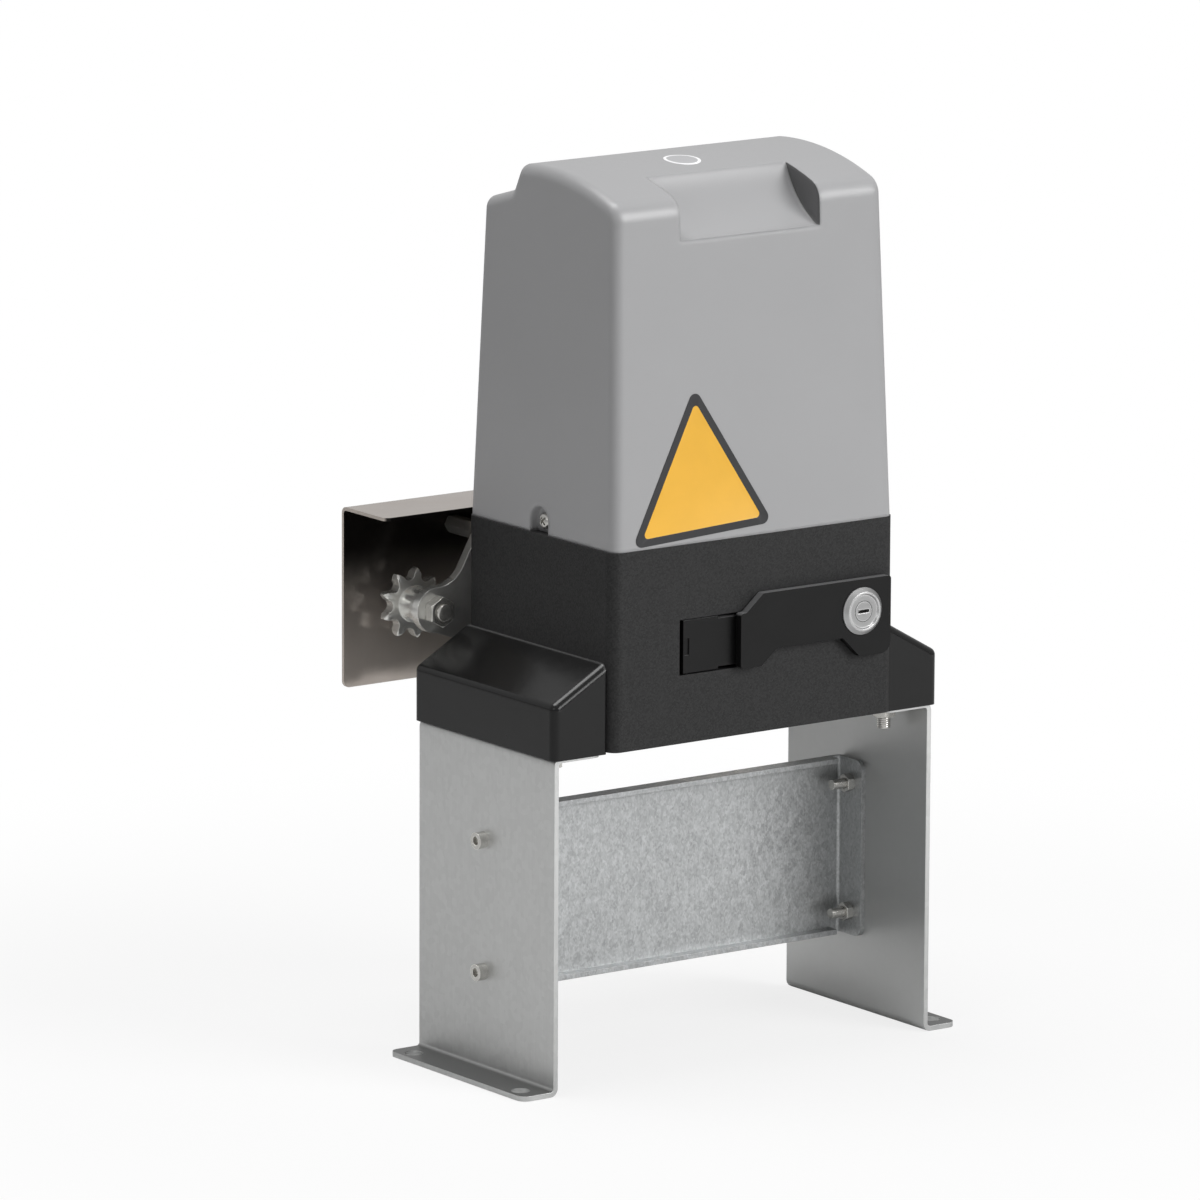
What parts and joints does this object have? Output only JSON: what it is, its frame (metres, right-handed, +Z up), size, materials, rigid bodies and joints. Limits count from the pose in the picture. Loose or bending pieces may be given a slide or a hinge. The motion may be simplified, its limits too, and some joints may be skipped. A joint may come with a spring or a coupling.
{
  "type": "sliding gate motor",
  "caption": "Upright gate drive: an arched grey cover on a black gear housing with a release lever, on two bent sheet legs, with chain sprockets and a guard behind.",
  "frame": {"origin": "on the ground, midway between the two legs, at the centre of the four anchor holes", "axes": "+Z up, +X along the motor's length and along the gate, +Y from the release lever towards the chain"},
  "size_m": [0.3168, 0.2119, 0.5301],
  "materials": {
    "galvanised": "galvanised sheet, satin with spangle",
    "zinc_steel": "zinc plated",
    "black_casting": "black textured paint",
    "black_moulding": "gloss black",
    "grey_cover": "light grey gloss",
    "lever_black": "satin black",
    "lock_silver": "satin nickel",
    "machined_steel": "machined",
    "bronze": "worn bronze",
    "rubber": "matt",
    "aluminium": "cast",
    "polished_sheet": "polished",
    "board_green": "solder mask",
    "black_plastic": "matt",
    "terminal_green": "matt",
    "capacitor_white": "satin",
    "copper_winding": "varnished"
  },
  "bodies": {
    "housing": {"bracket_left": "galvanised", "bracket_right": "galvanised", "cross_brace": "galvanised", "brace_screws": "zinc_steel", "brace_nuts": "zinc_steel", "base_housing": "black_casting", "mounting_bolts": "zinc_steel", "mounting_washers": "zinc_steel", "mounting_nuts": "zinc_steel", "end_cap_left": "black_moulding", "end_cap_right": "black_moulding", "top_cover": "grey_cover", "cover_screws": "zinc_steel", "lever_hinge_pin": "machined_steel", "shaft_bearings": "machined_steel", "oil_seal": "rubber", "rotor_bearings": "machined_steel", "gearbox_lid": "aluminium", "lid_screws": "zinc_steel", "motor_bell_lower": "aluminium", "motor_bell_upper": "aluminium", "motor_stator": "copper_winding", "control_board": "board_green", "board_frame": "black_plastic", "relays": "black_plastic", "terminal_blocks": "terminal_green", "capacitor": "capacitor_white", "capacitor_clip": "black_plastic", "transformer": "copper_winding", "idler_arm": "zinc_steel", "arm_screws": "zinc_steel", "idler_bolts": "zinc_steel", "idler_washers": "zinc_steel", "idler_nuts": "zinc_steel", "chain_guard": "polished_sheet", "guard_pillars": "zinc_steel", "guard_screws": "zinc_steel"},
    "drive": {"output_shaft": "machined_steel", "worm_wheel": "bronze", "sprocket_key": "machined_steel", "drive_sprocket": "machined_steel", "shaft_nut": "zinc_steel"},
    "rotor": {"rotor_shaft": "machined_steel", "rotor_core": "machined_steel"},
    "lever": {"release_lever": "lever_black", "lock_body": "lock_silver"},
    "key": {"lock_plug": "lock_silver", "lock_cam": "zinc_steel"},
    "idler_left": {"idler_sprocket_left": "machined_steel", "idler_bush_left": "bronze"},
    "idler_right": {"idler_sprocket_right": "machined_steel", "idler_bush_right": "bronze"}
  },
  "joints": [
    {"name": "rotor_spin", "type": "hinge", "parent": "housing", "child": "rotor", "pos_m": [-0.046, 0.004, 0.28], "axis": [0, 0, 1], "continuous": true},
    {"name": "drive_spin", "type": "hinge", "parent": "housing", "child": "drive", "pos_m": [0, 0.107, 0.28], "axis": [0, 1, 0], "continuous": true},
    {"name": "lever_swing", "type": "hinge", "parent": "housing", "child": "lever", "pos_m": [-0.046, -0.0705, 0.257], "axis": [0, 0, -1], "range_deg": [0, 90]},
    {"name": "key_turn", "type": "hinge", "parent": "lever", "child": "key", "pos_m": [0.0737, -0.0816, 0.2645], "axis": [0, 1, 0], "range_deg": [0, 90]},
    {"name": "idler_left_spin", "type": "hinge", "parent": "housing", "child": "idler_left", "pos_m": [-0.116, 0.107, 0.2595], "axis": [0, 1, 0], "continuous": true},
    {"name": "idler_right_spin", "type": "hinge", "parent": "housing", "child": "idler_right", "pos_m": [0.116, 0.107, 0.2595], "axis": [0, 1, 0], "continuous": true}
  ],
  "couplings": [
    {"joint": "drive_spin", "follows": "rotor_spin", "ratio": -0.028571}
  ]
}
